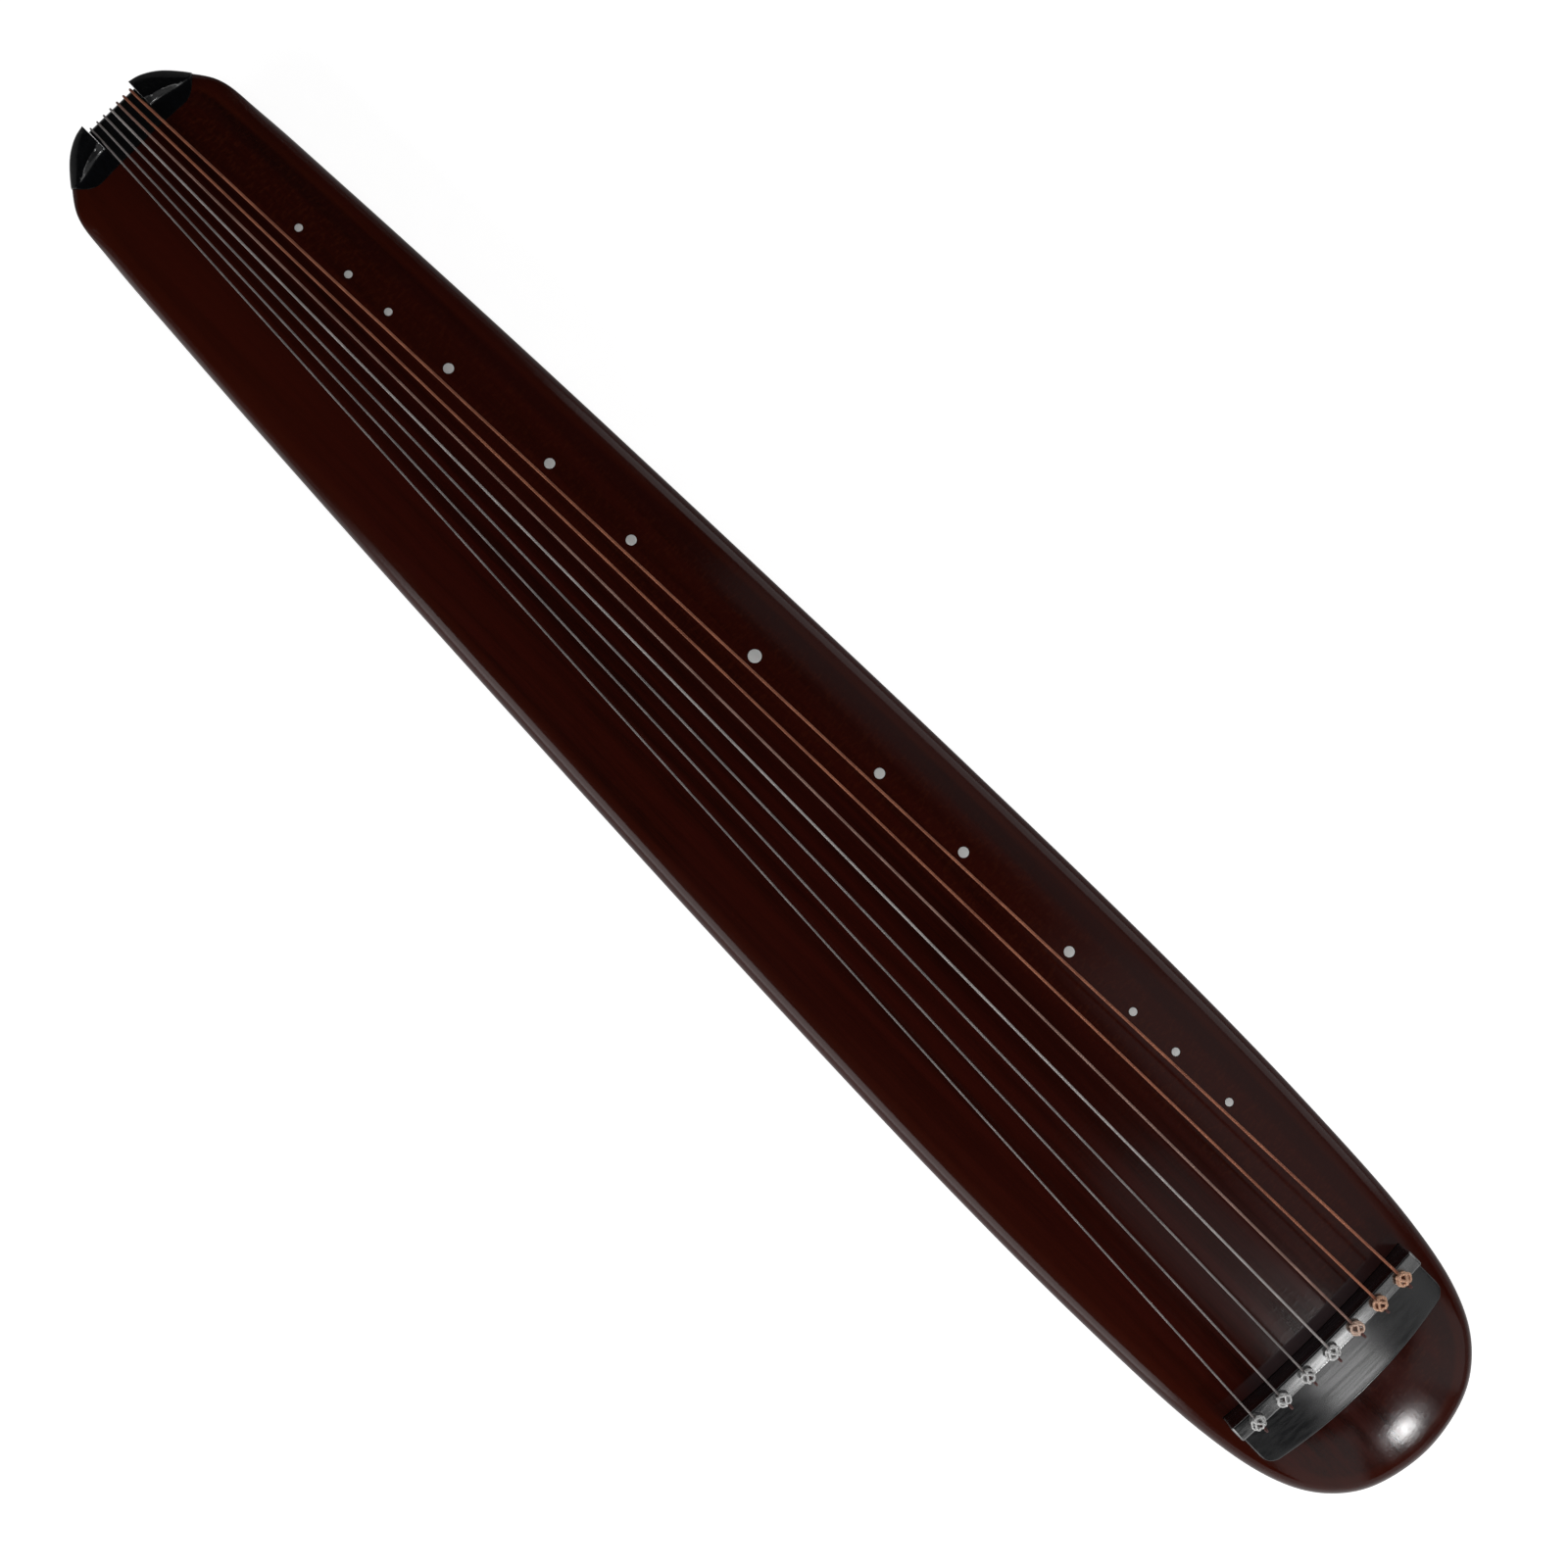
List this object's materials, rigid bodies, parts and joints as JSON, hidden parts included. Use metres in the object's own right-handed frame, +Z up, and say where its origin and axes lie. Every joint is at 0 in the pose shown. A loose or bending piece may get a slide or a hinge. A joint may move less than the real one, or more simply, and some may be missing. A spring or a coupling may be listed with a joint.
{
  "type": "guqin",
  "caption": "Board zither of two hollowed boards with strings over a bridge and nut, turning tuning pegs under the head, feet and inlaid stud markers.",
  "frame": {"origin": "on the surface that the instrument stands on, under the middle of its length and width", "axes": "+X along the strings towards the head with the bridge, +Y towards the side with the stud markers, +Z up"},
  "size_m": [1.232, 0.206, 0.1012],
  "materials": {
    "lacquer": "glossy dark red-brown lacquer over straight wood grain",
    "black_wood": "polished black hardwood",
    "bare_wood": "bare inner wood",
    "pearl": "polished shell inlay",
    "string_copper": "copper coloured wound string",
    "string_silver": "silver grey wound string",
    "silk_cord": "twisted dark red silk cord"
  },
  "bodies": {
    "instrument": {"soundboard": "lacquer", "bottom_board": "lacquer", "bridge": "black_wood", "bridge_plate": "black_wood", "nut": "black_wood", "tail_support": "black_wood", "crown_corner_left": "black_wood", "crown_corner_right": "black_wood", "peg_plate": "black_wood", "dragon_pool_rim": "black_wood", "phoenix_pool_rim": "black_wood", "goose_foot_left": "black_wood", "goose_foot_right": "black_wood", "peg_guard_left": "black_wood", "peg_guard_right": "black_wood", "heaven_post": "bare_wood", "earth_post": "bare_wood", "foot_block_left": "bare_wood", "foot_block_right": "bare_wood", "hui_1": "pearl", "hui_2": "pearl", "hui_3": "pearl", "hui_4": "pearl", "hui_5": "pearl", "hui_6": "pearl", "hui_7": "pearl", "hui_8": "pearl", "hui_9": "pearl", "hui_10": "pearl", "hui_11": "pearl", "hui_12": "pearl", "hui_13": "pearl", "string_1": "string_copper", "string_2": "string_copper", "string_3": "string_copper", "string_4": "string_silver", "string_5": "string_silver", "string_6": "string_silver", "string_7": "string_silver", "peg_cord_1": "silk_cord", "peg_cord_2": "silk_cord", "peg_cord_3": "silk_cord", "peg_cord_4": "silk_cord", "peg_cord_5": "silk_cord", "peg_cord_6": "silk_cord", "peg_cord_7": "silk_cord"},
    "peg_set_1": {"peg_1": "black_wood", "peg_wrap_1": "silk_cord"},
    "peg_set_2": {"peg_2": "black_wood", "peg_wrap_2": "silk_cord"},
    "peg_set_3": {"peg_3": "black_wood", "peg_wrap_3": "silk_cord"},
    "peg_set_4": {"peg_4": "black_wood", "peg_wrap_4": "silk_cord"},
    "peg_set_5": {"peg_5": "black_wood", "peg_wrap_5": "silk_cord"},
    "peg_set_6": {"peg_6": "black_wood", "peg_wrap_6": "silk_cord"},
    "peg_set_7": {"peg_7": "black_wood", "peg_wrap_7": "silk_cord"}
  },
  "joints": [
    {"name": "peg_1_turn", "type": "hinge", "parent": "instrument", "child": "peg_set_1", "pos_m": [0.5248, 0.06317, 0.02], "axis": [0, 0, 1], "range_deg": [-900, 900]},
    {"name": "peg_2_turn", "type": "hinge", "parent": "instrument", "child": "peg_set_2", "pos_m": [0.5248, 0.04212, 0.02], "axis": [0, 0, 1], "range_deg": [-900, 900]},
    {"name": "peg_3_turn", "type": "hinge", "parent": "instrument", "child": "peg_set_3", "pos_m": [0.5248, 0.02106, 0.02], "axis": [0, 0, 1], "range_deg": [-900, 900]},
    {"name": "peg_4_turn", "type": "hinge", "parent": "instrument", "child": "peg_set_4", "pos_m": [0.5248, 0, 0.02], "axis": [0, 0, 1], "range_deg": [-900, 900]},
    {"name": "peg_5_turn", "type": "hinge", "parent": "instrument", "child": "peg_set_5", "pos_m": [0.5248, -0.02106, 0.02], "axis": [0, 0, 1], "range_deg": [-900, 900]},
    {"name": "peg_6_turn", "type": "hinge", "parent": "instrument", "child": "peg_set_6", "pos_m": [0.5248, -0.04212, 0.02], "axis": [0, 0, 1], "range_deg": [-900, 900]},
    {"name": "peg_7_turn", "type": "hinge", "parent": "instrument", "child": "peg_set_7", "pos_m": [0.5248, -0.06317, 0.02], "axis": [0, 0, 1], "range_deg": [-900, 900]}
  ]
}
